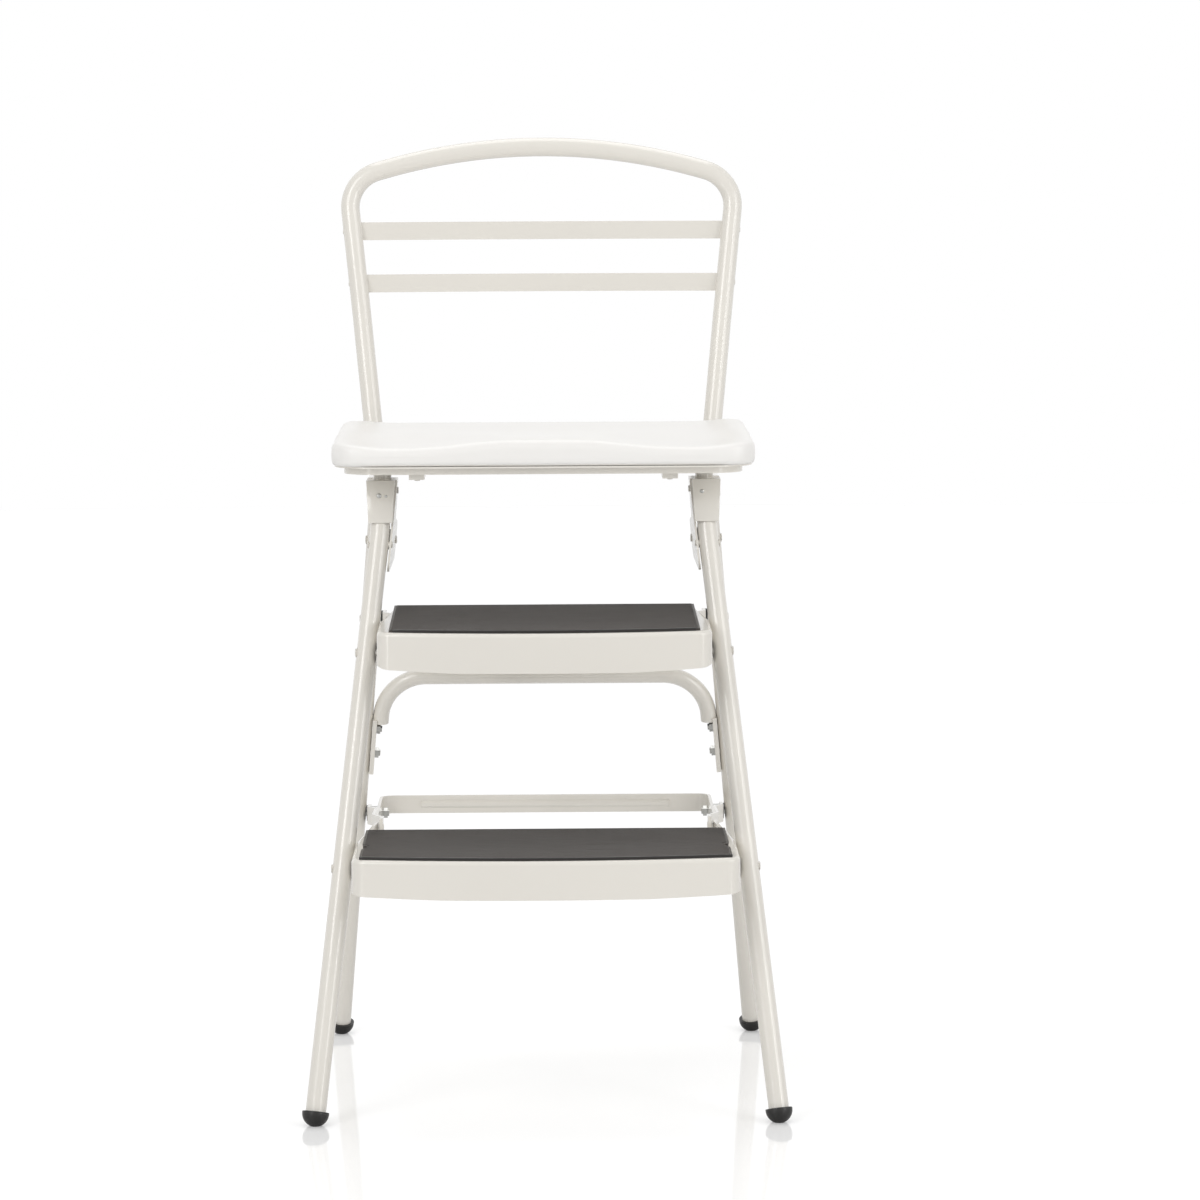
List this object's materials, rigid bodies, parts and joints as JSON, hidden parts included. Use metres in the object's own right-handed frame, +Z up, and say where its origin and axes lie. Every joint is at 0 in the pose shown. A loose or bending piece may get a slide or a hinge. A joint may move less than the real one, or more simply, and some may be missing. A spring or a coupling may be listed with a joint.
{
  "type": "folding step stool chair",
  "caption": "Folding step stool chair: tube frame, fold-out treads on links, lifting moulded seat and low tube backrest with slats.",
  "frame": {"origin": "middle of the outer bounding box in plan, on the floor", "axes": "+Z up; the front with the treads faces -Y; +X is the right side seen from the front"},
  "size_m": [0.4554, 0.517, 0.9141],
  "materials": {
    "cream_enamel": "gloss",
    "seat_plastic": "gloss",
    "tread_vinyl": "matte",
    "black_rubber": "satin",
    "black_washer": "satin",
    "zinc_steel": "satin"
  },
  "bodies": {
    "front_frame": {"front_leg_left": "cream_enamel", "front_leg_right": "cream_enamel", "front_foot_left": "black_rubber", "front_foot_right": "black_rubber", "side_bracket_left": "cream_enamel", "side_bracket_right": "cream_enamel", "bracket_rivets": "cream_enamel", "back_tube": "cream_enamel", "backrest_slat_upper": "cream_enamel", "backrest_slat_lower": "cream_enamel", "slat_rivets": "cream_enamel", "seat_hinge_plate_left": "zinc_steel", "seat_hinge_plate_right": "zinc_steel", "seat_rest_pads": "cream_enamel", "step_pivot_rivets": "cream_enamel", "step_pivot_washers": "black_washer", "swing_rivets": "cream_enamel", "swing_spacers": "black_washer"},
    "seat": {"seat_shell": "seat_plastic", "seat_tray": "cream_enamel", "seat_battens": "cream_enamel", "seat_screws": "cream_enamel", "seat_hinge_ears": "zinc_steel", "seat_hinge_pins": "zinc_steel"},
    "rear_frame": {"rear_leg_left": "cream_enamel", "rear_leg_right": "cream_enamel", "rear_foot_left": "black_rubber", "rear_foot_right": "black_rubber", "arch_brace": "cream_enamel", "arch_bolts": "zinc_steel", "arch_nuts": "zinc_steel", "link_pivot_rivets": "cream_enamel", "link_pivot_washers": "black_washer", "crossbar_bolts": "zinc_steel", "crossbar_nuts": "zinc_steel"},
    "upper_step": {"upper_step_pan": "cream_enamel", "upper_step_mat": "tread_vinyl"},
    "lower_step": {"lower_step_pan": "cream_enamel", "lower_step_mat": "tread_vinyl", "lower_step_arm_left": "cream_enamel", "lower_step_arm_right": "cream_enamel", "step_arm_rivets": "cream_enamel"},
    "upper_links": {"upper_link_left": "cream_enamel", "upper_link_right": "cream_enamel", "upper_link_studs": "cream_enamel"},
    "lower_links": {"lower_link_left": "cream_enamel", "lower_link_right": "cream_enamel", "crossbar": "cream_enamel", "crossbar_spacers": "zinc_steel", "crossbar_rivets": "cream_enamel", "lower_link_studs": "cream_enamel"}
  },
  "joints": [
    {"name": "seat_lift", "type": "hinge", "parent": "front_frame", "child": "seat", "pos_m": [0, 0.142, 0.6], "axis": [-1, 0, 0], "range_deg": [0, 95]},
    {"name": "frame_fold", "type": "hinge", "parent": "front_frame", "child": "rear_frame", "pos_m": [0, 0.094, 0.52], "axis": [-1, 0, 0], "range_deg": [0, 31]},
    {"name": "lower_step_fold", "type": "hinge", "parent": "front_frame", "child": "lower_step", "pos_m": [0, -0.134, 0.23], "axis": [1, 0, 0], "range_deg": [0, 73.1]},
    {"name": "upper_step_fold", "type": "hinge", "parent": "front_frame", "child": "upper_step", "pos_m": [0, -0.075, 0.427], "axis": [1, 0, 0], "range_deg": [0, 71.5]},
    {"name": "lower_link_turn", "type": "hinge", "parent": "rear_frame", "child": "lower_links", "pos_m": [0, 0.165, 0.237], "axis": [-1, 0, 0], "range_deg": [0, 8.81]},
    {"name": "upper_link_turn", "type": "hinge", "parent": "rear_frame", "child": "upper_links", "pos_m": [0, 0.11, 0.44], "axis": [1, 0, 0], "range_deg": [0, 22.27]}
  ],
  "couplings": [
    {"joint": "lower_step_fold", "follows": "frame_fold", "ratio": 2.3581},
    {"joint": "upper_step_fold", "follows": "frame_fold", "ratio": 2.3065},
    {"joint": "lower_link_turn", "follows": "frame_fold", "ratio": 0.28419},
    {"joint": "upper_link_turn", "follows": "frame_fold", "ratio": 0.71839}
  ]
}
